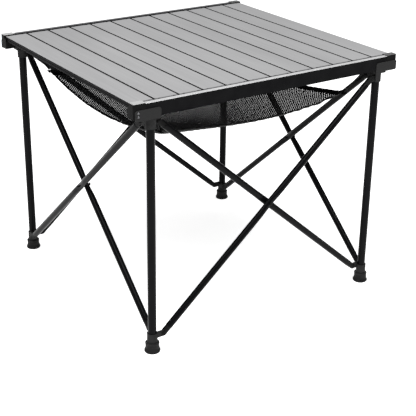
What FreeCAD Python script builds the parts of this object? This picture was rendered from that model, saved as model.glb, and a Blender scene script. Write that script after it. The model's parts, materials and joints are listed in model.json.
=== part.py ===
import FreeCAD, Part
import math
import os

# Roll-top camping table. All lengths are in millimetres.
# +X runs along the two side rails, +Y along the slats, +Z is up.
# The origin is on the ground below the middle of the table top.

V = FreeCAD.Vector
UP = V(0, 0, 1)

# ---- driving dimensions ------------------------------------------------------
TABLE_LENGTH = 600.0      # over the rail end caps
TABLE_WIDTH = 543.6       # over the outer faces of the two rails
SLAT_TOP = 495.0          # height of the table top above the ground
LEG_SPACING = 520.0       # between leg axes, the same both ways
FIT_GAP = 0.3             # clearance between pieces that move past each other
RUNNING_GAP = 0.05        # radial clearance of tubes and pins that slide or turn

SLAT_COUNT = 12
SLAT_PITCH = 49.8
SLAT_WIDTH = 46.2
SLAT_THICK = 10.0
SLAT_WALL = 1.3
SLAT_EDGE_RADIUS = 0.9
SLAT_CHAMBERS = 3
PLUG_THICK = 3.0
PLUG_STUB = 8.0
SLAT_END_Y = 256.5        # outer face of a slat's end plug
CORD_HOLE_OFFSET = 15.0   # lacing notches either side of a plug's middle
SIDE_GROOVE = (0.5, 1.6)  # depth and width of the groove along a slat's sides

RAIL_TOP = 496.0
RAIL_BOTTOM = 470.0
RAIL_WALL = 1.5
RAIL_FLANGE = 10.0
RAIL_LEDGE = 23.8
LEDGE_TOP = 484.9

CAP_LENGTH = 24.5
CAP_TOP = 497.8
CAP_LIP = 1.7

PLATE_THICK = 2.0
PLATE_LENGTH = 52.0
PLATE_TOP = 485.8
PLATE_BOTTOM = 466.2
RIVET_HEAD = 1.0

UPPER_PIVOT_Z = 454.0
LOWER_PIVOT_Z = 36.0
PIVOT_OFFSET = 20.0       # from a leg's axis to the brace pivots beside it
BRACE_OD = 13.0
BRACE_WALL = 1.0
BRACE_PLANE = 6.75        # each brace of a pair lies this far from the leg axes' plane
PIN_RADIUS = 2.0
LUG_HALF_THICK = 2.5
LUG_RADIUS = 5.5
FORK_THROAT = 8.0
FORK_BODY = 15.0
FORK_HALF_WIDTH = 5.6
PLUG_DEPTH = 14.0

LEG_OD = 16.0
LEG_ID = 13.6
UPPER_TUBE_BOTTOM = 31.0
UPPER_TUBE_TOP = 478.0
LOWER_TUBE_OD = LEG_ID - 2 * RUNNING_GAP
LOWER_TUBE_WALL = 1.0
LOWER_TUBE_BOTTOM = 6.0
LOWER_TUBE_TOP = 430.0

COLLAR_RADIUS = 10.0
COLLAR_BOTTOM = 445.5
BLOCK_BOTTOM = 463.0
BLOCK_TOP = LEDGE_TOP - RAIL_WALL - FIT_GAP
BLOCK_HALF_LENGTH = 15.0
HUB_TOP = 39.0
HUB_FLANGE_RADIUS = 13.5

NET_HALF = 225.0          # corner of the net from the middle, both ways
NET_CORNER_Z = 424.0
NET_LEFT_SAG = 38.0       # the edge at -X hangs lower than the others
NET_OTHER_SAG = 26.0
NET_CENTRE_LIFT = 16.0
NET_SKEW = -6.0           # each edge's low point lies a little towards +X or +Y
NET_WAIST = 0.045
NET_THICK = 1.6
HEM_WIDTH = 11.0
HEM_THICK = 1.2
NET_CORD_RADIUS = 1.25
KNOT_RADIUS = 2.4
STRAND_SPREAD = 4.0       # half the distance between a corner's two cords, at the arm
STRAND_MEET = 1.6         # the same at the net
STRAND_STOP = 5.0         # the cords' solids end this far short of the net's corner
ARM_REACH = 16.0          # net cord hole from the leg's axis, both ways
ARM_THICK = 3.5
ARM_END_RADIUS = 3.2

HALF_LENGTH = TABLE_LENGTH / 2
HALF_WIDTH = TABLE_WIDTH / 2
LEG = LEG_SPACING / 2
RAIL_HALF_LENGTH = HALF_LENGTH - CAP_LENGTH

# corners in turn round the table, with the sign of their X and Y
CORNERS = {"front": (-1, -1), "right": (1, -1), "back": (1, 1), "left": (-1, 1)}
RING = ["front", "right", "back", "left"]


# ---- small helpers -----------------------------------------------------------
def box(x0, x1, y0, y1, z0, z1):
    return Part.makeBox(x1 - x0, y1 - y0, z1 - z0, V(x0, y0, z0))


def rod(base, direction, radius, length):
    return Part.makeCylinder(radius, length, base, direction)


def tube(base, direction, outer, inner, length):
    return rod(base, direction, outer, length).cut(rod(base, direction, inner, length))


def turned(profile):
    """A solid turned about the Z axis from (radius, z) points."""
    points = [V(radius, 0, z) for radius, z in profile]
    face = Part.Face(Part.makePolygon(points + points[:1]))
    return face.revolve(V(0, 0, 0), UP, 360)


def round_edges(solid, radius, wanted):
    edges = [edge for edge in solid.Edges if wanted(edge)]
    return solid.makeFillet(radius, edges)


def runs_along(edge, direction):
    if len(edge.Vertexes) != 2:
        return False
    span = edge.Vertexes[1].Point - edge.Vertexes[0].Point
    return abs(abs(span.dot(direction)) - span.Length) < 1e-6


def placed(shape, origin, x_axis, z_axis=UP):
    """Move a shape drawn at the origin so its X and Z axes lie along the given ones."""
    y_axis = z_axis.cross(x_axis)
    turn = FreeCAD.Rotation(x_axis, y_axis, z_axis, "ZXY")
    copy = shape.copy()
    copy.Placement = FreeCAD.Placement(origin, turn).multiply(copy.Placement)
    return copy


def write(name, solids):
    for number, solid in enumerate(solids):
        if not solid.isValid() or solid.Volume <= 0:
            print("bad solid", name, number)
    shape = solids[0] if len(solids) == 1 else Part.makeCompound(solids)
    shape.exportStep(os.path.join("parts", name + ".step"))


def half_turn(shape):
    copy = shape.copy()
    copy.rotate(V(0, 0, 0), UP, 180)
    return copy


# ---- table top ---------------------------------------------------------------
def slat_outline(length, shrink):
    """A rounded bar across the slat's width, centred on X, along Y from zero."""
    half = SLAT_WIDTH / 2 - shrink
    bar = box(-half, half, 0, length, SLAT_TOP - SLAT_THICK + shrink, SLAT_TOP - shrink)
    return round_edges(bar, SLAT_EDGE_RADIUS, lambda edge: runs_along(edge, V(0, 1, 0)))


def chamber_boxes(length, shrink):
    """The slat's inner chambers, between its top, bottom, sides and ribs."""
    clear = SLAT_WIDTH - SLAT_WALL * (SLAT_CHAMBERS + 1)
    width = clear / SLAT_CHAMBERS
    boxes = []
    for number in range(SLAT_CHAMBERS):
        x0 = -SLAT_WIDTH / 2 + SLAT_WALL + number * (width + SLAT_WALL)
        bottom = SLAT_TOP - SLAT_THICK + SLAT_WALL
        boxes.append(box(x0 + shrink, x0 + width - shrink, 0, length,
                         bottom + shrink, SLAT_TOP - SLAT_WALL - shrink))
    return boxes


def slat_extrusion():
    length = 2 * (SLAT_END_Y - PLUG_THICK)
    bar = slat_outline(length, 0)
    for chamber in chamber_boxes(length, 0):
        bar = bar.cut(chamber)
    groove_z = SLAT_TOP - SLAT_THICK / 2
    depth, half = SIDE_GROOVE[0], SIDE_GROOVE[1] / 2
    for side in (-1, 1):
        edge = side * SLAT_WIDTH / 2
        bar = bar.cut(box(edge - depth, edge + depth, 0, length, groove_z - half, groove_z + half))
    bar.translate(V(0, -length / 2, 0))
    return bar


def slat_plug():
    """Moulded plug for the slat's end at +Y, with lacing notches in its outer edge."""
    plug = slat_outline(PLUG_THICK, 0.15)
    for stub in chamber_boxes(PLUG_STUB, 0.1):
        stub.translate(V(0, -PLUG_STUB, 0))
        plug = plug.fuse(stub)
    for side in (-1, 1):
        middle = side * CORD_HOLE_OFFSET
        plug = plug.cut(box(middle - 1.8, middle + 1.8, 1.2, PLUG_THICK, SLAT_TOP - 5, SLAT_TOP))
    plug.translate(V(0, SLAT_END_Y - PLUG_THICK, 0))
    return plug.removeSplitter()


def write_slats():
    extrusion = slat_extrusion()
    plug = slat_plug()
    pieces = [extrusion, plug, half_turn(plug)]
    for number in range(SLAT_COUNT):
        middle = (number - (SLAT_COUNT - 1) / 2) * SLAT_PITCH
        copies = [piece.copy() for piece in pieces]
        for copy in copies:
            copy.translate(V(middle, 0, 0))
        write("slat_%02d" % (number + 1), copies)


# ---- side rails --------------------------------------------------------------
def front_rail():
    """Extruded rail: an outer web, a top flange and a ledge that carries the slats."""
    face_y = -HALF_WIDTH
    half = RAIL_HALF_LENGTH
    web = box(-half, half, face_y, face_y + RAIL_WALL, RAIL_BOTTOM, RAIL_TOP)
    flange = box(-half, half, face_y, face_y + RAIL_FLANGE, RAIL_TOP - RAIL_WALL, RAIL_TOP)
    ledge = box(-half, half, face_y, face_y + RAIL_LEDGE, LEDGE_TOP - RAIL_WALL, LEDGE_TOP)
    rail = web.fuse([flange, ledge]).removeSplitter()

    def outer_top(edge):
        return (runs_along(edge, V(1, 0, 0)) and abs(edge.CenterOfMass.y - face_y) < 0.01
                and edge.CenterOfMass.z > RAIL_TOP - 0.01)

    rail = round_edges(rail, 1.2, outer_top)
    lock_hole = rod(V(LEG, face_y - 1, 474.5), V(0, 1, 0), 3.0, RAIL_WALL + 2)
    return rail.cut(lock_hole)


def front_cap(side):
    """Moulded cap on the end of the front rail at the given side of X."""
    end = HALF_LENGTH
    inner = RAIL_HALF_LENGTH
    y0 = -HALF_WIDTH
    bottom = RAIL_BOTTOM - 0.4

    def outer_corner(edge):
        middle = edge.CenterOfMass
        return runs_along(edge, UP) and abs(middle.x - end) < 0.01 and abs(middle.y - y0) < 0.01

    post = box(inner, end, y0, -SLAT_END_Y - 0.4, bottom, CAP_TOP)
    post = round_edges(post, 2.5, outer_corner)
    post = round_edges(post, 1.2, lambda edge: edge.BoundBox.ZMin > CAP_TOP - 0.01)
    foot = box(inner, end, y0, y0 + RAIL_LEDGE - 2, bottom, LEDGE_TOP - FIT_GAP)
    foot = round_edges(foot, 2.5, outer_corner)
    lip = box(end - CAP_LIP, end, y0 + 5, y0 + RAIL_LEDGE - 2, bottom, SLAT_TOP - 4)
    cap = post.fuse([foot, lip]).removeSplitter()
    spigot_y = y0 + RAIL_WALL
    spigot = box(inner - 12, inner, spigot_y, spigot_y + 7, LEDGE_TOP, RAIL_TOP - RAIL_WALL)
    cap = cap.fuse(spigot).removeSplitter()
    if side < 0:
        cap = cap.mirror(V(0, 0, 0), V(1, 0, 0))
    return cap


def plate_from(points, radius_at):
    """A flat plate on the front rail's outer face from (x, z) corners, some of them rounded."""
    y = -HALF_WIDTH
    corners = [V(x, y, z) for x, z in points]
    face = Part.Face(Part.makePolygon(corners + corners[:1]))
    plate = face.extrude(V(0, -PLATE_THICK, 0))
    for number, radius in radius_at.items():
        corner = corners[number]
        plate = round_edges(plate, radius, lambda edge: runs_along(edge, V(0, 1, 0))
                            and abs(edge.CenterOfMass.x - corner.x) < 0.01
                            and abs(edge.CenterOfMass.z - corner.z) < 0.01)

    def front_rim(edge):
        return abs(edge.BoundBox.YMin + PLATE_THICK - y) < 0.01 and edge.BoundBox.YLength < 0.01

    return round_edges(plate, 0.5, front_rim)


def hinge_plate():
    """The plate at the front rail's hinged end, at -X."""
    outer = -HALF_LENGTH + 2.5
    inner = outer + PLATE_LENGTH
    points = [(outer, PLATE_BOTTOM), (inner, PLATE_BOTTOM), (inner, PLATE_TOP), (outer, PLATE_TOP)]
    return plate_from(points, {0: 5.0, 1: 4.0, 2: 5.0, 3: 5.0})


def lock_plate():
    """The stepped plate at the front rail's locked end, at +X, with a tab down to the collar."""
    outer = HALF_LENGTH - 0.5
    inner = outer - PLATE_LENGTH
    tab = LEG + 0.5
    step = LEG + 12.5
    points = [(inner, PLATE_TOP), (outer, PLATE_TOP), (outer, PLATE_BOTTOM + 0.8),
              (step, PLATE_BOTTOM + 0.8), (step, PLATE_BOTTOM - 2), (tab, PLATE_BOTTOM - 2),
              (tab, COLLAR_BOTTOM + 2), (inner, COLLAR_BOTTOM + 2)]
    return plate_from(points, {0: 5.0, 1: 3.0, 2: 3.0, 7: 2.0})


def plate_rivets():
    """The two rivets at the outer end of the front hinge plate."""
    rivets = []
    for z in (481.0, 474.5):
        base = V(-HALF_LENGTH + 9, -HALF_WIDTH - PLATE_THICK, z)
        head = Part.makeCone(2.3, 1.5, RIVET_HEAD, base, V(0, -1, 0))
        rivets.append(head)
    return rivets


def write_rails():
    rail = front_rail()
    write("rail_front", [rail])
    write("rail_rear", [half_turn(rail)])
    for name, make in (("rail_end_caps", lambda: [front_cap(-1), front_cap(1)]),
                       ("rail_end_plates", lambda: [hinge_plate(), lock_plate()]),
                       ("plate_rivets", plate_rivets)):
        solids = make()
        write(name, solids + [half_turn(solid) for solid in solids])


# ---- corner castings, legs and feet -------------------------------------------
# Castings are drawn with the leg axis on Z for the front corner, where inward is
# +X and +Y. The lug towards +X carries a brace on its inward side and the lug
# towards +Y carries one on its outward side; feet have them the other way round.
def lug(direction, side, z):
    """A tongue from a collar out to a pivot along direction, offset to one side."""
    reach = PIVOT_OFFSET
    half_thick = LUG_HALF_THICK
    tongue = box(5, reach, -half_thick, half_thick, z - LUG_RADIUS, z + LUG_RADIUS)
    eye = rod(V(reach, -half_thick, z), V(0, 1, 0), LUG_RADIUS, 2 * half_thick)
    piece = tongue.fuse(eye)
    piece = piece.cut(rod(V(reach, -half_thick - 1, z), V(0, 1, 0),
                          PIN_RADIUS + RUNNING_GAP, 2 * half_thick + 2))
    piece.translate(V(0, side * BRACE_PLANE, 0))
    return placed(piece, V(0, 0, 0), direction)


def net_arm():
    """Plate that reaches diagonally inward under the rail; its two ends hold the net's cords."""
    z0 = BLOCK_BOTTOM
    reach = ARM_REACH * math.sqrt(2)
    half = STRAND_SPREAD + ARM_END_RADIUS
    strip = box(9, reach, -half, half, z0, z0 + ARM_THICK)
    bar = box(reach, reach + ARM_END_RADIUS, -STRAND_SPREAD, STRAND_SPREAD, z0, z0 + ARM_THICK)
    ends = [rod(V(reach, side * STRAND_SPREAD, z0), UP, ARM_END_RADIUS, ARM_THICK)
            for side in (-1, 1)]
    return placed(strip.fuse([bar] + ends), V(0, 0, 0), V(1, 1, 0).normalize())


def cord_ends(side):
    """Top and bottom of one of the front corner's two cords, in the leg's own frame."""
    inward = LEG - NET_HALF
    across = V(1, -1, 0).normalize() * side
    top = V(ARM_REACH, ARM_REACH, BLOCK_BOTTOM + ARM_THICK / 2) + across * STRAND_SPREAD
    bottom = V(inward, inward, NET_CORNER_Z) + across * STRAND_MEET
    return top, bottom


def casting(mirrored):
    """Corner casting in the leg's frame; mirrored ones suit the right and left corners."""
    collar = rod(V(0, 0, COLLAR_BOTTOM), UP, COLLAR_RADIUS, BLOCK_BOTTOM - COLLAR_BOTTOM + 1)
    half = BLOCK_HALF_LENGTH
    outer = -(HALF_WIDTH - RAIL_WALL - LEG - 0.4)
    block = box(-half, half, outer, 10, BLOCK_BOTTOM, BLOCK_TOP)
    block = round_edges(block, 3.0, lambda edge: runs_along(edge, UP))
    body = block.fuse([collar, net_arm()])
    if mirrored:
        lugs = [lug(V(1, 0, 0), -1, UPPER_PIVOT_Z), lug(V(0, 1, 0), -1, UPPER_PIVOT_Z)]
    else:
        lugs = [lug(V(1, 0, 0), 1, UPPER_PIVOT_Z), lug(V(0, 1, 0), 1, UPPER_PIVOT_Z)]
    body = body.fuse(lugs)
    body = body.cut(rod(V(0, 0, COLLAR_BOTTOM), UP, LEG_OD / 2, UPPER_TUBE_TOP - COLLAR_BOTTOM))
    for side in (-1, 1):
        top, bottom = cord_ends(side)
        along = (bottom - top).normalize()
        body = body.cut(rod(top - along * 6, along, NET_CORD_RADIUS + FIT_GAP, 12))
    return body.removeSplitter()


def hub(mirrored):
    """Foot hub: collar with two lugs, a flange and a stem that the rubber foot grips."""
    collar = rod(V(0, 0, 17), UP, COLLAR_RADIUS, HUB_TOP - 17)
    flange = turned([(0, 17), (13.2, 17), (HUB_FLANGE_RADIUS, 17.6), (HUB_FLANGE_RADIUS, 18.8),
                     (12.4, 20), (0, 20)])
    stem = rod(V(0, 0, 4), UP, 9.5, 13)
    side = 1 if mirrored else -1
    lugs = [lug(V(1, 0, 0), side, LOWER_PIVOT_Z), lug(V(0, 1, 0), side, LOWER_PIVOT_Z)]
    body = collar.fuse([flange, stem] + lugs)
    body = body.cut(rod(V(0, 0, LOWER_TUBE_BOTTOM), UP, LOWER_TUBE_OD / 2, HUB_TOP))
    mouth = LEG_OD / 2 + FIT_GAP
    body = body.cut(rod(V(0, 0, UPPER_TUBE_BOTTOM - 1), UP, mouth, HUB_TOP))
    return body.removeSplitter()


def pad():
    """Rubber foot: a cup round the hub's stem that flares to the ground."""
    cup = turned([(0, 0), (14.3, 0), (15.3, 1.4), (15.3, 3.4), (13.4, 7.5), (13.0, 10), (13.0, 17),
                  (9.5, 17), (9.5, 4), (0, 4)])
    slot = box(11, 16, -4, 4, 5.2, 6.4)
    return cup.cut(placed(slot, V(0, 0, 0), V(0.5, -0.8, 0).normalize()))


def write_corners():
    lower = tube(V(0, 0, LOWER_TUBE_BOTTOM), UP, LOWER_TUBE_OD / 2,
                 LOWER_TUBE_OD / 2 - LOWER_TUBE_WALL, LOWER_TUBE_TOP - LOWER_TUBE_BOTTOM)
    upper = tube(V(0, 0, UPPER_TUBE_BOTTOM), UP, LEG_OD / 2, LEG_ID / 2,
                 UPPER_TUBE_TOP - UPPER_TUBE_BOTTOM)
    for corner, (sx, sy) in CORNERS.items():
        mirrored = sx * sy < 0
        pieces = {"corner_bracket_": casting(mirrored), "foot_hub_": hub(mirrored),
                  "leg_upper_tube_": upper, "leg_lower_tube_": lower, "foot_pad_": pad()}
        for name, piece in pieces.items():
            solid = piece.copy()
            if sx > 0:
                solid = solid.mirror(V(0, 0, 0), V(1, 0, 0))
            if sy > 0:
                solid = solid.mirror(V(0, 0, 0), V(0, 1, 0))
            solid.translate(V(sx * LEG, sy * LEG, 0))
            write(name + corner, [solid])


# ---- scissor braces ------------------------------------------------------------
# A brace is drawn along +X from one pivot to the other, with the pivots' axes
# along Y, then laid on its side of the frame.
BRACE_RUN = LEG_SPACING - 2 * PIVOT_OFFSET
BRACE_RISE = UPPER_PIVOT_Z - LOWER_PIVOT_Z
BRACE_LENGTH = math.hypot(BRACE_RUN, BRACE_RISE)


def brace_tube():
    inner = BRACE_OD / 2 - BRACE_WALL
    piece = tube(V(FORK_BODY, 0, 0), V(1, 0, 0), BRACE_OD / 2, inner, BRACE_LENGTH - 2 * FORK_BODY)
    middle = BRACE_LENGTH / 2
    hole = rod(V(middle, -BRACE_OD, 0), V(0, 1, 0), PIN_RADIUS + RUNNING_GAP, 2 * BRACE_OD)
    return piece.cut(hole)


def fork():
    """Moulded fork at the pivot at the origin, its plug pushed into the tube along +X."""
    radius = BRACE_OD / 2 - 0.4
    body = rod(V(0, 0, 0), V(1, 0, 0), radius, FORK_BODY)
    body = body.fuse(Part.makeSphere(radius, V(0, 0, 0)))
    beyond = BRACE_OD
    width = FORK_HALF_WIDTH
    body = body.common(box(-beyond, FORK_BODY, -width, width, -beyond, beyond))
    slot_half = LUG_HALF_THICK + FIT_GAP
    body = body.cut(box(-beyond, FORK_THROAT, -slot_half, slot_half, -beyond, beyond))
    body = body.cut(rod(V(0, -beyond, 0), V(0, 1, 0), PIN_RADIUS, 2 * beyond))
    plug = rod(V(FORK_BODY, 0, 0), V(1, 0, 0), BRACE_OD / 2 - BRACE_WALL, PLUG_DEPTH)
    return body.fuse(plug).removeSplitter()


def brace_fittings(carries_rivet):
    """Forks and pins of one brace; one brace of each pair also carries the middle rivet."""
    near = fork()
    far = near.copy()
    far.rotate(V(0, 0, 0), UP, 180)
    far.translate(V(BRACE_LENGTH, 0, 0))
    pins = [rod(V(x, -6.2, 0), V(0, 1, 0), PIN_RADIUS, 12.4) for x in (0, BRACE_LENGTH)]
    pieces = [near, far] + pins
    if carries_rivet:
        middle = BRACE_LENGTH / 2
        reach = BRACE_PLANE + BRACE_OD / 2
        shank = rod(V(middle, -BRACE_OD / 2, 0), V(0, 1, 0), PIN_RADIUS, 2 * reach)
        head = Part.makeCone(3.2, 2.2, 1.4, V(middle, -BRACE_OD / 2, 0), V(0, -1, 0))
        tail_y = 2 * reach - BRACE_OD / 2
        tail = Part.makeCone(3.2, 2.2, 1.4, V(middle, tail_y + 0.05, 0), V(0, 1, 0))
        neck = rod(V(middle, tail_y, 0), V(0, 1, 0), PIN_RADIUS, 0.05)
        pieces.append(shank.fuse([head, neck, tail]).removeSplitter())
    return pieces


def write_braces():
    """On each side of the ring the outer brace rises from the first corner's foot."""
    for number, start in enumerate(RING):
        finish = RING[(number + 1) % len(RING)]
        start_sign, finish_sign = CORNERS[start], CORNERS[finish]
        foot_axis = V(start_sign[0] * LEG, start_sign[1] * LEG, 0)
        along = V(finish_sign[0] - start_sign[0], finish_sign[1] - start_sign[1], 0).normalize()
        inward = UP.cross(along)
        for kind, low_z, high_z, shift in (("outer", LOWER_PIVOT_Z, UPPER_PIVOT_Z, -BRACE_PLANE),
                                           ("inner", UPPER_PIVOT_Z, LOWER_PIVOT_Z, BRACE_PLANE)):
            origin = foot_axis + along * PIVOT_OFFSET + inward * shift + UP * low_z
            brace_axis = (along * BRACE_RUN + UP * (high_z - low_z)).normalize()
            z_axis = brace_axis.cross(inward)
            side = "brace_%s_%s_%s" % (start, finish, kind)
            write(side, [placed(brace_tube(), origin, brace_axis, z_axis)])
            fittings = brace_fittings(kind == "outer")
            write(side + "_ends", [placed(piece, origin, brace_axis, z_axis) for piece in fittings])


# ---- storage net ---------------------------------------------------------------
def net_point(u, v):
    """A point of the hanging net; u and v run from -1 to 1 across it."""
    x = NET_HALF * u * (1 - NET_WAIST * (1 - v * v))
    y = NET_HALF * v * (1 - NET_WAIST * (1 - u * u))
    bow_u, bow_v = 1 - u * u, 1 - v * v
    left_share = (1 - u) / 2
    side_sag = NET_LEFT_SAG * left_share + NET_OTHER_SAG * (1 - left_share)
    sag = NET_OTHER_SAG * bow_u + side_sag * bow_v
    z = NET_CORNER_Z - sag + NET_CENTRE_LIFT * bow_u * bow_v + NET_SKEW * (u * bow_u + v * bow_v)
    return V(x, y, z)


def surface_through(rows):
    surface = Part.BSplineSurface()
    surface.interpolate(rows)
    return surface.toShape()


def write_net():
    steps = [-1 + 0.25 * number for number in range(9)]
    face = surface_through([[net_point(u, v) for v in steps] for u in steps])
    write("mesh_net", [face.extrude(V(0, 0, -NET_THICK))])

    strips = []
    inner = 1 - HEM_WIDTH / NET_HALF
    span = [step * (inner - 0.005) for step in steps]
    for swap in (False, True):
        for side in (-1, 1):
            rows = []
            for across in (side, side * (1 + inner) / 2, side * inner):
                rows.append([net_point(t, across) if swap else net_point(across, t) for t in span])
            strip = surface_through(rows).extrude(V(0, 0, HEM_THICK))
            strip.translate(V(0, 0, FIT_GAP))
            strips.append(strip)
    write("net_hem", strips)


def net_strand(side):
    """One cord of the front corner, from the knot on its arm to the net, in the leg's frame."""
    top, bottom = cord_ends(side)
    along = (bottom - top).normalize()
    knot_lift = KNOT_RADIUS + FIT_GAP + ARM_THICK / 2
    start = top + along * (knot_lift / along.z)
    finish = bottom - along * STRAND_STOP
    cord = rod(start, along, NET_CORD_RADIUS, (finish - start).Length)
    return cord.fuse(Part.makeSphere(KNOT_RADIUS, start))


def write_net_cords():
    for corner, (sx, sy) in CORNERS.items():
        solids = []
        for side in (-1, 1):
            solid = net_strand(side)
            if sx > 0:
                solid = solid.mirror(V(0, 0, 0), V(1, 0, 0))
            if sy > 0:
                solid = solid.mirror(V(0, 0, 0), V(0, 1, 0))
            solid.translate(V(sx * LEG, sy * LEG, 0))
            solids.append(solid)
        write("net_cord_" + corner, solids)


def main():
    os.makedirs("parts", exist_ok=True)
    write_slats()
    write_rails()
    write_corners()
    write_braces()
    write_net()
    write_net_cords()
    print("brace length", round(BRACE_LENGTH, 2))


main()
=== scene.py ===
import json
import math

import bmesh
import bpy
import numpy as np
from mathutils import Matrix, Vector


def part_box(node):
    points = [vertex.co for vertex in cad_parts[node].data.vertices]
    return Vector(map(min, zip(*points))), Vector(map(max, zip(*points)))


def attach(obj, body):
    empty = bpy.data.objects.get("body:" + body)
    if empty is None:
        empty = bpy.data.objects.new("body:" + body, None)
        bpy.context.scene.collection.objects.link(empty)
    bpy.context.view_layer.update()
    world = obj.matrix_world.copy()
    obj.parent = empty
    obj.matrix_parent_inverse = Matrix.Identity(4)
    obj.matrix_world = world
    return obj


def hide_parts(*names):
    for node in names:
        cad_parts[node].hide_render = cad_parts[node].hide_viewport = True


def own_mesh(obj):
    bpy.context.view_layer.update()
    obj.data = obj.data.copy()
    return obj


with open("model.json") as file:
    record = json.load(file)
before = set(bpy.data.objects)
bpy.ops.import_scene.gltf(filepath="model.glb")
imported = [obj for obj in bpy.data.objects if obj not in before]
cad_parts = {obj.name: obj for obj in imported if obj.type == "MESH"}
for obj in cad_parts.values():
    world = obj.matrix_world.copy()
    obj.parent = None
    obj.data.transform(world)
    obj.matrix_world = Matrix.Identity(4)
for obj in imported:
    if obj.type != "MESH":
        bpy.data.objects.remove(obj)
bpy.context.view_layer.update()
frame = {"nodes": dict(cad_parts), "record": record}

MM = 0.001
NODES = frame["nodes"]
CORNERS = {"front": (-1, -1), "right": (1, -1), "back": (1, 1), "left": (-1, 1)}
DECK = "deck_and_bracket_front"

WORLD_STRENGTH = 0.15
FLOOR_GLOW = 0.8        # light that the floor itself gives off, so that it is white
FLOOR_HALF = 9.0
LIGHTS_AIM = (0, 0, 0.3)
# name, place, side of the square lamp, power
LIGHTS = (("top", (-0.5, -0.6, 3.0), 2.6, 142),
          ("front", (1.2, -2.6, 2.2), 0.9, 14))

CAMERA_TURN = (-34.36, 22.79, 0.82)     # azimuth, elevation and roll, degrees
CAMERA_AIM = (0.0392, 0.0, 0.1892)
CAMERA_DISTANCE = 2.2152
CAMERA_LENS = 88.79
CAMERA_SHIFT = -0.067308                # share of the picture's width


# ---- camera, light and floor ---------------------------------------------------
def make_camera():
    """A long lens from the table's front left, a little above it."""
    azimuth, elevation, roll = (math.radians(angle) for angle in CAMERA_TURN)
    back = Vector((math.sin(azimuth) * math.cos(elevation),
                   -math.cos(azimuth) * math.cos(elevation), math.sin(elevation)))
    camera = bpy.data.objects.new("camera", bpy.data.cameras.new("camera"))
    bpy.context.scene.collection.objects.link(camera)
    camera.data.lens = CAMERA_LENS
    camera.data.sensor_width = 36
    camera.data.shift_y = CAMERA_SHIFT
    camera.location = Vector(CAMERA_AIM) + back * CAMERA_DISTANCE
    turn = (-back).to_track_quat("-Z", "Y").to_matrix()
    camera.rotation_euler = (turn @ Matrix.Rotation(roll, 3, "Z")).to_euler()
    bpy.context.scene.camera = camera


def area_light(name, place, size, power):
    """A square lamp turned towards the table."""
    light = bpy.data.lights.new(name, "AREA")
    light.shape = "RECTANGLE"
    light.size = light.size_y = size
    light.energy = power
    lamp = bpy.data.objects.new(name, light)
    bpy.context.scene.collection.objects.link(lamp)
    lamp.location = place
    lamp.rotation_euler = (Vector(LIGHTS_AIM) - Vector(place)).to_track_quat("-Z", "Y").to_euler()


def make_studio():
    """A plain bright room: an even world, two lamps and a pale floor."""
    scene = bpy.context.scene
    scene.view_settings.view_transform = "Standard"
    world = bpy.data.worlds.new("studio")
    scene.world = world
    world.use_nodes = True
    world.node_tree.nodes["Background"].inputs["Color"].default_value = (1, 1, 1, 1)
    world.node_tree.nodes["Background"].inputs["Strength"].default_value = WORLD_STRENGTH
    for name, place, size, power in LIGHTS:
        area_light(name, place, size, power)

    mesh = bpy.data.meshes.new("floor")
    half = FLOOR_HALF
    mesh.from_pydata([(-half, -half, 0), (half, -half, 0), (half, half, 0), (-half, half, 0)],
                     [], [(0, 1, 2, 3)])
    floor = bpy.data.objects.new("floor", mesh)
    scene.collection.objects.link(floor)
    paint = Finish("pale_floor", (0.93, 0.93, 0.93), 0.85)
    paint.colour(paint.noise(3.0), (0.92, 0.92, 0.92), (0.95, 0.95, 0.95))
    paint.shader.inputs["Emission Color"].default_value = (1, 1, 1, 1)
    paint.shader.inputs["Emission Strength"].default_value = FLOOR_GLOW
    floor.data.materials.append(paint.material)


# ---- materials -------------------------------------------------------------------
MASK_BLUR = 0.02 * MM


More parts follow.
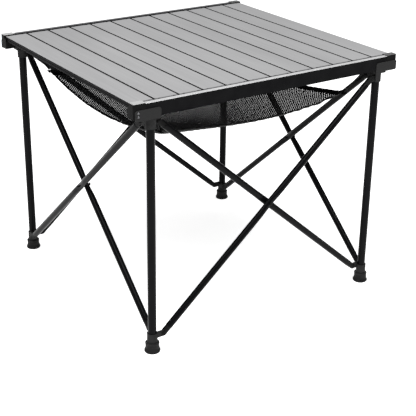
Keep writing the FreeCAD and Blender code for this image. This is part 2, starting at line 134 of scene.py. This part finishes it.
class Finish:
    """A principled material with helpers for procedural colour, roughness and bump."""

    def __init__(self, name, colour, roughness, metallic=0.0, **sockets):
        self.material = bpy.data.materials.new(name)
        self.material.use_nodes = True
        self.tree = self.material.node_tree
        self.shader = self.tree.nodes["Principled BSDF"]
        self.shader.inputs["Base Color"].default_value = (*colour, 1)
        self.shader.inputs["Roughness"].default_value = roughness
        self.shader.inputs["Metallic"].default_value = metallic
        for socket, value in sockets.items():
            self.shader.inputs[socket.replace("_", " ")].default_value = value
        self.place = self.tree.nodes.new("ShaderNodeTexCoord").outputs["Object"]
        self.height = None

    def link(self, source, target):
        self.tree.links.new(source, target)

    def stretched(self, stretch):
        if stretch is None:
            return self.place
        mapping = self.tree.nodes.new("ShaderNodeMapping")
        mapping.inputs["Scale"].default_value = stretch
        self.link(self.place, mapping.inputs["Vector"])
        return mapping.outputs["Vector"]

    def noise(self, scale, stretch=None, detail=3.0):
        node = self.tree.nodes.new("ShaderNodeTexNoise")
        node.inputs["Scale"].default_value = scale
        node.inputs["Detail"].default_value = detail
        self.link(self.stretched(stretch), node.inputs["Vector"])
        return node.outputs["Fac"]

    def wave(self, scale, direction, stretch=None, distortion=0.0):
        node = self.tree.nodes.new("ShaderNodeTexWave")
        node.bands_direction = direction
        node.inputs["Scale"].default_value = scale
        node.inputs["Distortion"].default_value = distortion
        self.link(self.stretched(stretch), node.inputs["Vector"])
        return node.outputs["Fac"]

    def cells(self, scale, stretch=None):
        node = self.tree.nodes.new("ShaderNodeTexVoronoi")
        node.inputs["Scale"].default_value = scale
        self.link(self.stretched(stretch), node.inputs["Vector"])
        return node.outputs["Distance"]

    def remap(self, source, low, high, start=0.3, end=0.7):
        node = self.tree.nodes.new("ShaderNodeMapRange")
        node.inputs["From Min"].default_value = start
        node.inputs["From Max"].default_value = end
        node.inputs["To Min"].default_value = low
        node.inputs["To Max"].default_value = high
        self.link(source, node.inputs["Value"])
        return node.outputs["Result"]

    def blend(self, factor, first, second):
        node = self.tree.nodes.new("ShaderNodeMix")
        node.data_type = "RGBA"
        self.link(factor, node.inputs["Factor"])
        for name, value in (("A", first), ("B", second)):
            socket = [s for s in node.inputs if s.name == name and s.type == "RGBA"][0]
            if isinstance(value, tuple):
                socket.default_value = (*value, 1)
            else:
                self.link(value, socket)
        return [s for s in node.outputs if s.type == "RGBA"][0]

    def colour(self, factor, first, second, start=0.3, end=0.7):
        mixed = self.blend(self.remap(factor, 0, 1, start, end), first, second)
        self.link(mixed, self.shader.inputs["Base Color"])
        return mixed

    def rough(self, factor, low, high, start=0.3, end=0.7):
        self.link(self.remap(factor, low, high, start, end), self.shader.inputs["Roughness"])

    def bump(self, height, distance, strength=0.5):
        node = self.tree.nodes.new("ShaderNodeBump")
        node.inputs["Distance"].default_value = distance
        node.inputs["Strength"].default_value = strength
        self.link(height, node.inputs["Height"])
        if self.height is not None:
            self.link(self.height, node.inputs["Normal"])
        self.height = node.outputs["Normal"]
        self.link(self.height, self.shader.inputs["Normal"])

    def beyond(self, axis, limit, absolute=False):
        """A mask, 1 where the object's coordinate along axis is more than limit."""
        place = self.tree.nodes.new("ShaderNodeSeparateXYZ")
        self.link(self.place, place.inputs["Vector"])
        value = place.outputs[axis]
        if absolute:
            node = self.tree.nodes.new("ShaderNodeMath")
            node.operation = "ABSOLUTE"
            self.link(value, node.inputs[0])
            value = node.outputs["Value"]
        return self.remap(value, 0, 1, limit - MASK_BLUR, limit + MASK_BLUR)

    def product(self, first, second):
        """Two masks multiplied: 1 where both are."""
        node = self.tree.nodes.new("ShaderNodeMath")
        node.operation = "MULTIPLY"
        self.link(first, node.inputs[0])
        self.link(second, node.inputs[1])
        return node.outputs["Value"]


def slat_aluminium():
    """Black extrusion with a light, satin upper face, fine die lines along Y and dark grey plugs."""
    finish = Finish("slat_aluminium", (0.5, 0.5, 0.51), 0.42, 0.5, Specular_IOR_Level=0.02)
    die_lines = finish.noise(900, (1, 0.006, 1), 2)
    cloud = finish.noise(9, (1, 0.35, 1))
    metal = finish.blend(finish.remap(cloud, 0, 1), (0.42, 0.42, 0.425), (0.47, 0.47, 0.475))
    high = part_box("slat_01")[1]
    upper = finish.beyond("Z", high.z - 0.2 * MM)
    plug = finish.beyond("Y", high.y - 3 * MM, absolute=True)
    face = finish.product(upper, finish.remap(plug, 1, 0, 0, 1))
    top = finish.blend(plug, metal, (0.17, 0.17, 0.175))
    finish.link(finish.blend(upper, (0.007, 0.007, 0.0075), top), finish.shader.inputs["Base Color"])
    finish.link(finish.remap(face, 0, 0.5, 0, 1), finish.shader.inputs["Metallic"])
    finish.rough(die_lines, 0.36, 0.5)
    finish.bump(die_lines, 0.00002, 0.35)
    return finish.material


def rail_paint():
    """Black powder coat; the narrow top of each rail is bare brushed aluminium, painted darker on the
    rear rail as painted shade.
    """
    finish = Finish("rail_black", (0.006, 0.006, 0.0065), 0.42, 0.0, Specular_IOR_Level=0.015)
    paint = finish.blend(finish.remap(finish.noise(40), 0, 1), (0.005, 0.005, 0.0055),
                         (0.008, 0.008, 0.0085))
    bare = finish.beyond("Z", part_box("rail_front")[1].z - 0.45 * MM)
    # painted shade: the rear rail's bare top is painted dark grey, while the front rail's top keeps the
    # pale aluminium tone
    metal = finish.blend(finish.beyond("Y", 0), (0.62, 0.62, 0.625), (0.16, 0.16, 0.165))
    finish.link(finish.blend(bare, paint, metal), finish.shader.inputs["Base Color"])
    finish.link(finish.remap(bare, 0, 0.5, 0, 1), finish.shader.inputs["Metallic"])
    finish.rough(finish.noise(120), 0.34, 0.48)
    finish.bump(finish.cells(1400), 0.00003, 0.3)
    return finish.material


def cap_plastic():
    """Black moulded end cap whose glossy top is painted grey as a painted reflection, brighter on the
    left end; the plates on the rail's face are paler.
    """
    finish = Finish("end_cap_plastic", (0.012, 0.012, 0.012), 0.3, 0.0, Specular_IOR_Level=0.015)
    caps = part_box("rail_end_caps")[1]
    side = finish.blend(finish.remap(finish.noise(60), 0, 1), (0.006,) * 3, (0.010,) * 3)
    plate = finish.beyond("Y", caps.y + 0.2 * MM, absolute=True)
    side = finish.blend(plate, side, (0.026,) * 3)
    top = finish.beyond("Z", caps.z - 0.7 * MM)
    # painted reflection: the cap's top is painted 0.34 grey on the left end and 0.10 on the right, in
    # place of glossy reflections of the room
    shade = finish.blend(finish.beyond("X", 0), (0.34,) * 3, (0.10,) * 3)
    finish.link(finish.blend(top, side, shade), finish.shader.inputs["Base Color"])
    finish.rough(finish.noise(150), 0.24, 0.36)
    finish.bump(finish.noise(900), 0.00003, 0.4)
    return finish.material


def tube_paint(name, roughness):
    """Glossy black anodised tube with faint drawing lines along it."""
    finish = Finish(name, (0.004, 0.004, 0.0045), roughness, 0.0, Specular_IOR_Level=0.045)
    finish.colour(finish.noise(25), (0.003, 0.003, 0.0034), (0.005, 0.005, 0.0055))
    finish.rough(finish.noise(70, (1, 1, 0.2)), roughness * 0.85, roughness * 1.25)
    finish.bump(finish.noise(500, (1, 1, 0.05)), 0.00002, 0.3)
    return finish.material


def moulded_nylon(name, shade, roughness):
    """Glass-filled nylon: fine spark texture with slightly paler patches."""
    finish = Finish(name, (shade, shade, shade), roughness, 0.0, Specular_IOR_Level=0.03)
    finish.colour(finish.noise(60), (shade * 0.8,) * 3, (shade * 1.3,) * 3)
    finish.rough(finish.noise(150), roughness * 0.85, roughness * 1.15)
    finish.bump(finish.cells(1100), 0.00006, 0.5)
    finish.bump(finish.noise(2600), 0.00003, 0.4)
    return finish.material


def foot_rubber():
    """Matt rubber with a fine grain."""
    finish = Finish("foot_rubber", (0.01, 0.01, 0.01), 0.5, 0.0, Specular_IOR_Level=0.1)
    finish.colour(finish.noise(45), (0.007, 0.007, 0.007), (0.014, 0.014, 0.014))
    finish.rough(finish.noise(200), 0.5, 0.72)
    finish.bump(finish.noise(1800), 0.00006, 0.6)
    return finish.material


def blackened_steel():
    """Blackened steel, a little brighter in places."""
    finish = Finish("rivet_steel", (0.09, 0.09, 0.095), 0.3, 0.9)
    finish.colour(finish.noise(300), (0.06, 0.06, 0.065), (0.13, 0.13, 0.135))
    finish.rough(finish.noise(500), 0.22, 0.42)
    finish.bump(finish.noise(1500), 0.00002, 0.3)
    return finish.material


def net_yarn():
    """Twisted polyester yarn of the mesh shelf."""
    finish = Finish("net_mesh", (0.035, 0.035, 0.036), 0.6, 0.0, Specular_IOR_Level=0.2)
    finish.colour(finish.noise(260), (0.026, 0.026, 0.027), (0.046, 0.046, 0.047))
    finish.rough(finish.noise(400), 0.5, 0.7)
    finish.bump(finish.wave(1500, "DIAGONAL"), 0.00008, 0.5)
    return finish.material


def binding_tape():
    """Woven tape: fine ribs both ways."""
    finish = Finish("net_binding", (0.012, 0.012, 0.012), 0.75, 0.0, Specular_IOR_Level=0.1)
    finish.colour(finish.noise(180), (0.006, 0.006, 0.006), (0.013, 0.013, 0.013))
    finish.rough(finish.noise(300), 0.62, 0.85)
    finish.bump(finish.wave(500, "X"), 0.00012, 0.5)
    finish.bump(finish.wave(500, "Y"), 0.00012, 0.5)
    return finish.material


def braided_cord():
    """Dull braided elastic cord."""
    finish = Finish("net_cord", (0.014, 0.014, 0.014), 0.7, 0.0, Specular_IOR_Level=0.1)
    finish.colour(finish.noise(500), (0.006, 0.006, 0.006), (0.015, 0.015, 0.015))
    finish.rough(finish.noise(700), 0.55, 0.8)
    finish.bump(finish.wave(900, "DIAGONAL", (1, 1, 1), 0.5), 0.0001, 0.5)
    return finish.material


def make_materials():
    return {
        "slat_aluminium": slat_aluminium(),
        "rail_black": rail_paint(),
        "end_cap_plastic": cap_plastic(),
        "casting_plastic": moulded_nylon("casting_plastic", 0.021, 0.42),
        "foot_rubber": foot_rubber(),
        "leg_tube_black": tube_paint("leg_tube_black", 0.12),
        "leg_tube_inner": tube_paint("leg_tube_inner", 0.15),
        "brace_tube_black": tube_paint("brace_tube_black", 0.2),
        "brace_fitting": moulded_nylon("brace_fitting", 0.009, 0.4),
        "rivet_steel": blackened_steel(),
        "net_mesh": net_yarn(),
        "net_binding": binding_tape(),
        "net_cord": braided_cord(),
    }


def dress_cad_nodes(materials):
    """Every CAD node gets its slot's material."""
    for part in frame["record"]["subparts"]:
        node, slot = part["node"], part["material_slot"]
        shown = NODES[node]
        shown.data.materials.clear()
        shown.data.materials.append(materials[slot])


# ---- mesh helpers ----------------------------------------------------------------
def piece_from(name, points, faces, material):
    """A smooth-shaded piece with its material."""
    mesh = bpy.data.meshes.new(name)
    mesh.from_pydata([tuple(map(float, p)) for p in points], [], [tuple(f) for f in faces])
    mesh.update()
    made = bpy.data.objects.new(name, mesh)
    bpy.context.scene.collection.objects.link(made)
    mesh.materials.append(material)
    mesh.polygons.foreach_set("use_smooth", [True] * len(mesh.polygons))
    return made


def smooth_by_angle(piece, degrees):
    """Keep edges sharper than this angle."""
    with bpy.context.temp_override(object=piece, active_object=piece, selected_objects=[piece],
                                   selected_editable_objects=[piece]):
        bpy.ops.object.shade_smooth_by_angle(angle=math.radians(degrees))


def strip_faces(rings, sides, closed_ends=False):
    """Quads that join successive rings of points, each with that many sides."""
    faces = []
    for ring in range(rings - 1):
        for side in range(sides):
            a = ring * sides + side
            b = ring * sides + (side + 1) % sides
            faces.append((a, b, b + sides, a + sides))
    if closed_ends:
        faces.append(tuple(reversed(range(sides))))
        faces.append(tuple(range((rings - 1) * sides, rings * sides)))
    return faces


def hoop_faces(rings, sides):
    """strip_faces for a closed loop: the last ring joins the first."""
    last = (rings - 1) * sides
    faces = strip_faces(rings, sides)
    for side in range(sides):
        after = (side + 1) % sides
        faces.append((last + side, last + after, after, side))
    return faces


def mend_normals(piece):
    """Turn every face outwards."""
    shape = bmesh.new()
    shape.from_mesh(piece.data)
    bmesh.ops.recalc_face_normals(shape, faces=shape.faces)
    shape.to_mesh(piece.data)
    shape.free()


# ---- scissor braces ----------------------------------------------------------------
BRACES = ["brace_%s_%s" % (pair, kind) for kind in ("outer", "inner")
          for pair in ("front_right", "right_back", "back_left", "left_front")]


BRACE_SIDES = 32
BRACE_RADIUS = 6.5 * MM
BRACE_WALL = 1.0 * MM
BRACE_RIM = 0.5 * MM        # length of the rounded rim at each end
FLAT_HALF = 17 * MM         # the flattened stretch at the crossing rivet
FLAT_DEPTH = 0.26
FLAT_WIDENS = 0.30


def brace_axes(node):
    """Index of the axis across the pair of a brace, and of the axis along which it runs."""
    return (1, 0) if "front_right" in node or "back_left" in node else (0, 1)


def brace_rows(length):
    """Distances along a tube of its rings, close together at the ends and where it is flattened."""
    ends = [0, 0.4 * MM, 1.2 * MM, 12 * MM]
    crossing = [length / 2 + FLAT_HALF * step / 8 for step in range(-16, 17)]
    return sorted(ends + crossing + [length - end for end in ends])


def brace_rings(node, rows, length):
    """Points of the outer and the inner skin of a brace's tube, ring by ring."""
    start, finish = brace_axis(node)
    along = (finish - start).normalized()
    across = Vector((0, 1, 0)) if brace_axes(node)[0] == 1 else Vector((1, 0, 0))
    lift = along.cross(across)
    inward = node_side(node)
    outer, inner = [], []
    for row in rows:
        rim = BRACE_RADIUS - max(0.0, BRACE_RIM - min(row, length - row)) * 0.8
        near = max(0.0, 1 - abs(row - length / 2) / (2 * FLAT_HALF))
        dent = FLAT_DEPTH * near * near * (3 - 2 * near)
        centre = start + along * row + across * inward * dent * BRACE_RADIUS * 0.5
        for ring, size in ((outer, rim), (inner, BRACE_RADIUS - BRACE_WALL)):
            for side in range(BRACE_SIDES):
                turn = 2 * math.pi * side / BRACE_SIDES
                ring.append(centre + across * math.cos(turn) * size * (1 - dent)
                            + lift * math.sin(turn) * size * (1 + dent * FLAT_WIDENS))
    return outer, inner


def brace_tubes(materials):
    """Hollow tubes that replace the CAD ones, flattened where each pair is riveted together."""
    for node in BRACES:
        start, finish = brace_axis(node)
        length = (finish - start).length
        rows = brace_rows(length)
        outer, inner = brace_rings(node, rows, length)
        shell = len(outer)
        last = shell - BRACE_SIDES
        faces = strip_faces(len(rows), BRACE_SIDES)
        faces += [tuple(shell + i for i in reversed(face)) for face in faces]
        for side in range(BRACE_SIDES):
            after = (side + 1) % BRACE_SIDES
            faces.append((side, side + shell, after + shell, after))
            faces.append((last + after, last + after + shell, last + side + shell, last + side))
        tube = piece_from(node + "_tube", outer + inner, faces, materials["brace_tube_black"])
        mend_normals(tube)
        smooth_by_angle(tube, 40)
        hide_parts(node)
        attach(tube, node)


def node_side(node):
    """The sign, along the tube's across axis, that points to the other brace of its pair."""
    low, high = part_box(node)
    axis = brace_axes(node)[0]
    toward_centre = -1 if low[axis] + high[axis] > 0 else 1
    return toward_centre if node.endswith("outer") else -toward_centre


def brace_axis(node):
    """The two ends of a brace's tube on its axis, from the CAD tube's own box."""
    low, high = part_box(node)
    flat_axis, run_axis = brace_axes(node)
    middle = (low + high) / 2
    points = np.array([v.co for v in NODES[node].data.vertices])
    centred = points - np.array(middle)
    rising = (centred[:, run_axis] * centred[:, 2]).sum() > 0
    span = high - low
    radius = span[flat_axis] / 2
    run, rise = span[run_axis], span.z
    # the box holds the tube's round ends: run = L cos + 2 r sin, rise = L sin + 2 r cos
    angle = math.atan2(rise, run)
    for _ in range(30):
        length = (run - 2 * radius * math.sin(angle)) / math.cos(angle)
        angle = math.asin((rise - 2 * radius * math.cos(angle)) / length)
    half = Vector((0, 0, 0))
    half[run_axis] = length / 2 * math.cos(angle)
    half.z = length / 2 * math.sin(angle) * (1 if rising else -1)
    return middle - half, middle + half


# ---- mesh shelf ---------------------------------------------------------------------
NET_GRID = 64
NET_FLAT = 0.448
NET_CELL = 4.0 * MM
# the drawn net's corners hang a little inside and below the CAD sheet's corners
NET_DRAWN_IN = 6.5 * MM
NET_LOWERED = 3.0 * MM
CLOTH_FRAMES = 40
CLOTH_REACH = 9 * MM        # the farthest that the simulation moves any point
CLOTH = {"quality": 6, "mass": 0.15, "tension_stiffness": 20, "compression_stiffness": 8,
         "shear_stiffness": 4, "bending_stiffness": 0.08, "vertex_group_mass": "pins",
         "pin_stiffness": 1.0, "shrink_min": -0.03, "shrink_max": -0.03, "tension_damping": 8,
         "air_damping": 2}


def net_frame():
    """Half the drawn net's side, and the height of its corners."""
    low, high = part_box("mesh_net")
    return (high.x - low.x) / 2 - NET_DRAWN_IN, high.z - NET_LOWERED


def net_rest(u, v):
    """The hanging net before it is simulated: a bowl between taut lines from corner to corner."""
    half, corner_z = net_frame()
    waist, left_sag, other_sag, lift, skew = 0.045, 0.036, 0.024, 0.015, -0.006
    bow_u, bow_v = 1 - u * u, 1 - v * v
    x = half * u * (1 - waist * bow_v)
    y = half * v * (1 - waist * bow_u)
    left_share = (1 - u) / 2
    sag = other_sag * bow_u + (left_sag * left_share + other_sag * (1 - left_share)) * bow_v
    z = corner_z - 1.6 * MM - sag + lift * bow_u * bow_v + skew * (u * bow_u + v * bow_v)
    return x, y, z


def simulated_net():
    """Cloth held at its corners and, a little less firmly, its edges, as a grid of points."""
    count = NET_GRID + 1
    line = np.linspace(-1, 1, count)
    u, v = np.meshgrid(line, line, indexing="ij")
    x, y, z = net_rest(u, v)
    grid = np.stack([x, y, z], axis=2)
    faces = []
    for i in range(NET_GRID):
        for j in range(NET_GRID):
            a = i * count + j
            faces.append((a, a + count, a + count + 1, a + 1))
    mesh = bpy.data.meshes.new("net_cloth")
    mesh.from_pydata([tuple(p) for p in grid.reshape(-1, 3)], [], faces)
    cloth = bpy.data.objects.new("net_cloth", mesh)
    bpy.context.scene.collection.objects.link(cloth)
    pins = cloth.vertex_groups.new(name="pins")
    for i in range(count):
        for j in range(count):
            edge_i, edge_j = min(i, NET_GRID - i), min(j, NET_GRID - j)
            if edge_i <= 1 and edge_j <= 1:
                pins.add([i * count + j], 1.0, "REPLACE")
            elif edge_i == 0 or edge_j == 0:
                pins.add([i * count + j], 0.9, "REPLACE")
    modifier = cloth.modifiers.new("cloth", "CLOTH")
    for name, value in CLOTH.items():
        setattr(modifier.settings, name, value)
    modifier.collision_settings.use_collision = False
    modifier.point_cache.frame_start = 1
    modifier.point_cache.frame_end = CLOTH_FRAMES
    scene = bpy.context.scene
    for moment in range(1, CLOTH_FRAMES + 1):
        scene.frame_set(moment)
    shown = cloth.evaluated_get(bpy.context.evaluated_depsgraph_get())
    settled = np.array([v.co for v in shown.data.vertices]).reshape(count, count, 3)
    bpy.data.objects.remove(cloth)
    scene.frame_set(1)
    away = np.linalg.norm(settled - grid, axis=2, keepdims=True)
    return grid + (settled - grid) * np.minimum(1, CLOTH_REACH / np.maximum(away, 1e-9))


def spline_weights(wanted, count):
    """Rows of Catmull-Rom weights that read a line of count points at each wanted place, 0 to 1."""
    weights = np.zeros((len(wanted), count))
    for row, place in enumerate(wanted):
        spot = place * (count - 1)
        start = min(int(spot), count - 2)
        t = spot - start
        four = (-t + 2 * t**2 - t**3, 2 - 5 * t**2 + 3 * t**3, t + 4 * t**2 - 3 * t**3, -t**2 + t**3)
        for offset, weight in zip((-1, 0, 1, 2), four):
            weights[row, min(max(start + offset, 0), count - 1)] += weight / 2
    return weights


def on_grid(grid, u, v):
    """The net's surface at every pair of u and v, each from 0 to 1."""
    across, along = spline_weights(u, len(grid)), spline_weights(v, len(grid))
    return np.einsum("ai,bj,ijk->abk", across, along, grid)


def net_threads(grid, material):
    """Two families of diagonal yarns that pass over and under each other."""
    steps = int(2 * round(NET_FLAT / (NET_CELL / math.sqrt(2)) / 2))
    margin = 0.012
    places = np.linspace(margin, 1 - margin, steps + 1)
    surface = on_grid(grid, places, places)
    du = np.gradient(surface, axis=0)
    dv = np.gradient(surface, axis=1)
    normal = np.cross(du, dv)
    normal /= np.linalg.norm(normal, axis=2, keepdims=True)
    wide, thick, weave = 1.42 * MM, 0.45 * MM, 0.30 * MM
    points, faces = [], []
    for family in (1, -1):
        for start in range(-steps, 2 * steps + 1, 2):
            run = [(i, start + family * i) for i in range(steps + 1)]
            run = [(i, j) for i, j in run if 0 <= j <= steps]
            if len(run) < 2:
                continue
            i, j = np.array(run).T
            line = surface[i, j]
            up = normal[i, j]
            along = np.gradient(line, axis=0)
            side = np.cross(up, along)
            side /= np.linalg.norm(side, axis=1, keepdims=True)
            over = np.where((i % 2) == 0, 1, -1)[:, None] * family * weave
            centre = line + up * over
            ring = np.stack([centre + side * wide, centre + up * thick, centre - side * wide,
                             centre - up * thick], axis=1).reshape(-1, 3)
            first = sum(len(p) for p in points)
            points.append(ring)
            faces += [tuple(first + k for k in f) for f in strip_faces(len(run), 4, True)]
    return piece_from("mesh_net_yarns", np.concatenate(points), faces, material)


def net_binding(grid, material):
    """Tape folded over the net's edge, in one closed band with a soft rounded rim."""
    count = 4 * 90
    width, thick = 11 * MM, 1.3 * MM
    band = width / NET_FLAT
    loop = []
    for step in range(count):
        side, t = divmod(step / (count / 4), 1)
        loop.append([(t, 0), (1, t), (1 - t, 1), (0, 1 - t)][int(side)])
    section = [(0, 0.0), (0.12, 0.75), (0.4, 1.0), (0.8, 0.9), (1.0, 0.45),
               (1.0, -0.45), (0.8, -0.9), (0.4, -1.0), (0.12, -0.75)]
    sides = len(section)
    shrinks = [1 - 2 * depth * band for depth, _ in section]
    flat = [(0.5 + (u - 0.5) * shrink, 0.5 + (v - 0.5) * shrink) for u, v in loop for shrink in shrinks]
    base, up = sample_points(grid, flat)
    heights = np.array([height for _, height in section] * count)[:, None] * thick
    ripple = np.array([math.sin(k * 0.9) * 0.12 + math.sin(k * 0.37 + 1) * 0.2
                       for k in range(count) for _ in range(sides)])[:, None] * MM
    points = base + up * (heights + ripple)
    made = piece_from("net_binding_tape", points, hoop_faces(count, sides), material)
    mend_normals(made)
    return made


def sample_points(grid, places):
    """Points and upward normals of the net at a list of (u, v) pairs."""
    u = np.array([p[0] for p in places])
    v = np.array([p[1] for p in places])
    fine = 4 * NET_GRID + 1
    line = np.linspace(0, 1, fine)
    surface = on_grid(grid, line, line)
    normal = np.cross(np.gradient(surface, axis=0), np.gradient(surface, axis=1))
    normal /= np.linalg.norm(normal, axis=2, keepdims=True)

    def read(field):
        a, b = np.clip(u, 0, 1) * (fine - 1), np.clip(v, 0, 1) * (fine - 1)
        i, j = np.minimum(a.astype(int), fine - 2), np.minimum(b.astype(int), fine - 2)
        s, t = (a - i)[:, None], (b - j)[:, None]
        return (field[i, j] * (1 - s) * (1 - t) + field[i + 1, j] * s * (1 - t)
                + field[i, j + 1] * (1 - s) * t + field[i + 1, j + 1] * s * t)

    up = read(normal)
    return read(surface), up / np.linalg.norm(up, axis=1, keepdims=True)


def net_stitches(grid, material):
    """A row of short stitches on each face of the binding."""
    points, faces = [], []
    pitch, long, wide, thick, off_net = 4.5 * MM, 3.0 * MM, 0.35 * MM, 0.3 * MM, 1.35 * MM
    inset = 9 * MM
    share = inset / NET_FLAT
    count = int((NET_FLAT - 2 * inset) / pitch)
    places = []
    for side in range(4):
        for step in range(count):
            t = share + (step + 0.5) / count * (1 - 2 * share)
            for end in (-1, 1):
                s = t + end * long / 2 / NET_FLAT
                places.append([(s, share), (1 - share, s), (1 - s, 1 - share), (share, 1 - s)][side])
    base, up = sample_points(grid, places)
    for number in range(0, len(places), 2):
        for face_side in (1, -1):
            a = base[number] + up[number] * face_side * off_net
            b = base[number + 1] + up[number + 1] * face_side * off_net
            along = b - a
            across = np.cross(up[number], along)
            across /= np.linalg.norm(across)
            first = len(points)
            for t, size in ((0, 0.4), (0.25, 1), (0.75, 1), (1, 0.4)):
                centre = a + along * t
                rise = up[number] * face_side
                points += [centre + across * wide * size, centre + rise * thick * size,
                           centre - across * wide * size, centre - rise * thick * size]
            faces += [tuple(first + k for k in f) for f in strip_faces(4, 4, True)]
    made = piece_from("net_stitches", points, faces, material)
    mend_normals(made)
    return made


def net_corner_tabs(grid, material):
    """The binding's two ends cross and stand out a little at each corner of the net."""
    inward, outward, half, thick, apart = 14 * MM, 6 * MM, 4.6 * MM, 0.6 * MM, 1.9 * MM
    section = ((1, 0.6), (0.9, 1), (-0.9, 1), (-1, 0.6), (-1, -0.6), (-0.9, -1), (0.9, -1), (1, -0.6))
    rings = 7
    points, faces = [], []
    for end_u in (0, -1):
        for end_v in (0, -1):
            corner = grid[end_u, end_v]
            next_u, next_v = (1 if end_u == 0 else -2), (1 if end_v == 0 else -2)
            along_u = grid[next_u, end_v] - corner
            along_v = grid[end_u, next_v] - corner
            along_u, along_v = along_u / np.linalg.norm(along_u), along_v / np.linalg.norm(along_v)
            up = np.cross(along_u, along_v)
            up /= np.linalg.norm(up) * (1 if up[2] > 0 else -1)
            for run, beside, lift in ((along_u, along_v, apart), (along_v, along_u, -apart)):
                first = len(points)
                for step in range(rings):
                    spot = inward - (inward + outward) * step / (rings - 1)
                    droop = 0.35 * MM * max(0, step - 3) ** 1.5
                    centre = corner + run * spot + beside * half + up * (lift - droop)
                    for wide, high in section:
                        points.append(centre + beside * half * wide + up * thick * high)
                faces += [tuple(first + k for k in f) for f in strip_faces(rings, len(section), True)]
    made = piece_from("net_corner_tabs", points, faces, material)
    mend_normals(made)
    return made


def fold_away(piece):
    """The piece moves with the deck and front bracket as the frame folds."""
    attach(piece, DECK)
    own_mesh(piece)


def make_net(materials):
    """The hanging net: yarns, bound edge, stitches and corner tabs, on one simulated surface."""
    grid = simulated_net()
    yarns = net_threads(grid, materials["net_mesh"])
    tape = net_binding(grid, materials["net_binding"])
    stitches = net_stitches(grid, materials["net_binding"])
    tabs = net_corner_tabs(grid, materials["net_binding"])
    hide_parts("mesh_net")
    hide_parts("net_hem")
    for piece in (yarns, tape, stitches, tabs):
        fold_away(piece)


# ---- net cords ------------------------------------------------------------------------
LEG_AXIS = 0.26             # the legs' axes from the middle, both ways
ARM_REACH = 0.016           # the cords' holes in a bracket's arm, from the leg's axis
ARM_MIDDLE_Z = 0.46475
KNOT_LIFT = 4.45 * MM       # the knot's middle above the arm's middle
CORD_RADIUS = 1.25 * MM
SHEET_HALF = 0.225          # the CAD sheet's corners from the middle, both ways
SHEET_CORNER_Z = 0.424


def cord_line(name, points):
    """The centreline of a cord as Blender's own spline gives it."""
    curve = bpy.data.curves.new(name, "CURVE")
    curve.dimensions = "3D"
    spline = curve.splines.new("NURBS")
    spline.points.add(len(points) - 1)
    for spot, point in zip(spline.points, points):
        spot.co = (*point, 1)
    spline.order_u = 3
    spline.use_endpoint_u = True
    spline.resolution_u = 12
    holder = bpy.data.objects.new(name, curve)
    mesh = bpy.data.meshes.new_from_object(holder)
    line = [v.co.copy() for v in mesh.vertices]
    bpy.data.meshes.remove(mesh)
    bpy.data.objects.remove(holder)
    bpy.data.curves.remove(curve)
    return line


def make_cords(materials):
    """Two short elastic cords at each corner, from the bracket's arm down to the net's corner."""
    net_half = SHEET_HALF - NET_DRAWN_IN
    spread, meet = 4.0 * MM, 1.6 * MM
    arm_middle = Vector((ARM_REACH - LEG_AXIS, ARM_REACH - LEG_AXIS, ARM_MIDDLE_Z))
    net_corner = Vector((-net_half, -net_half, SHEET_CORNER_Z - NET_LOWERED))
    across = Vector((1, -1, 0)).normalized()
    for corner, (sx, sy) in CORNERS.items():
        for strand, side in (("a", -1), ("b", 1)):
            top = arm_middle + across * spread * side
            bottom = net_corner + across * meet * side
            along = (bottom - top).normalized()
            start = top + along * (KNOT_LIFT / along.z)
            finish = bottom - along * 1.0 * MM
            middle = (start + finish) / 2 - Vector((0, 0, 0.4 * MM))
            route = [Vector((-p.x * sx, -p.y * sy, p.z)) for p in (start, middle, finish)]
            line = cord_line("route", route)
            name = "net_cord_%s_%s" % (corner, strand)
            braid = braided_tube(name + "_braid", line, CORD_RADIUS, materials["net_cord"])
            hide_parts("net_cord_" + corner)
            fold_away(braid)
            knot = knot_mesh(name + "_knot", route[0], materials["net_cord"])
            fold_away(knot)


def braided_tube(name, line, radius, material):
    """A tube along the line whose section is lobed and twists, as a braided sleeve does."""
    sides, ring_gap = 16, 0.9 * MM
    lobe_height, twist = 0.07, 1500     # twist is in radians per metre
    points, steps = [], []
    for a, b in zip(line, line[1:]):
        pieces = max(1, int((b - a).length / ring_gap))
        steps += [a.lerp(b, k / pieces) for k in range(pieces)]
    steps.append(line[-1])
    reach = 0
    for number, spot in enumerate(steps):
        ahead = steps[min(number + 1, len(steps) - 1)] - steps[max(number - 1, 0)]
        ahead.normalize()
        side = ahead.cross(Vector((0, 0, 1))).normalized()
        rise = side.cross(ahead)
        if number:
            reach += (spot - steps[number - 1]).length
        for k in range(sides):
            turn = 2 * math.pi * k / sides
            lobe = 1 + lobe_height * (math.cos(4 * turn + reach * twist)
                                      + math.cos(4 * turn - reach * twist))
            points.append(spot + (side * math.cos(turn) + rise * math.sin(turn)) * radius * lobe * 0.94)
    return piece_from(name, points, strip_faces(len(steps), sides, True), material)


def knot_mesh(name, centre, material):
    """A tight overhand knot: a small trefoil of slightly thinner cord."""
    sides, turns = 12, 90
    size, radius = 1.15 * MM, 1.1 * MM
    spots = []
    for step in range(turns):
        t = 2 * math.pi * step / turns
        spots.append(centre + size * 0.62 * Vector((math.sin(t) + 2 * math.sin(2 * t),
                                                    math.cos(t) - 2 * math.cos(2 * t),
                                                    -1.3 * math.sin(3 * t))))
    points = []
    for step, spot in enumerate(spots):
        ahead = (spots[(step + 1) % turns] - spots[step - 1]).normalized()
        side = ahead.cross(Vector((0, 0, 1))).normalized()
        rise = side.cross(ahead)
        for k in range(sides):
            turn = 2 * math.pi * k / sides
            points.append(spot + (side * math.cos(turn) + rise * math.sin(turn)) * radius)
    made = piece_from(name, points, hoop_faces(turns, sides), material)
    mend_normals(made)
    return made


# ---- the table ----------------------------------------------------------------------
make_camera()
make_studio()
MATERIALS = make_materials()
dress_cad_nodes(MATERIALS)
make_cords(MATERIALS)
make_net(MATERIALS)
brace_tubes(MATERIALS)
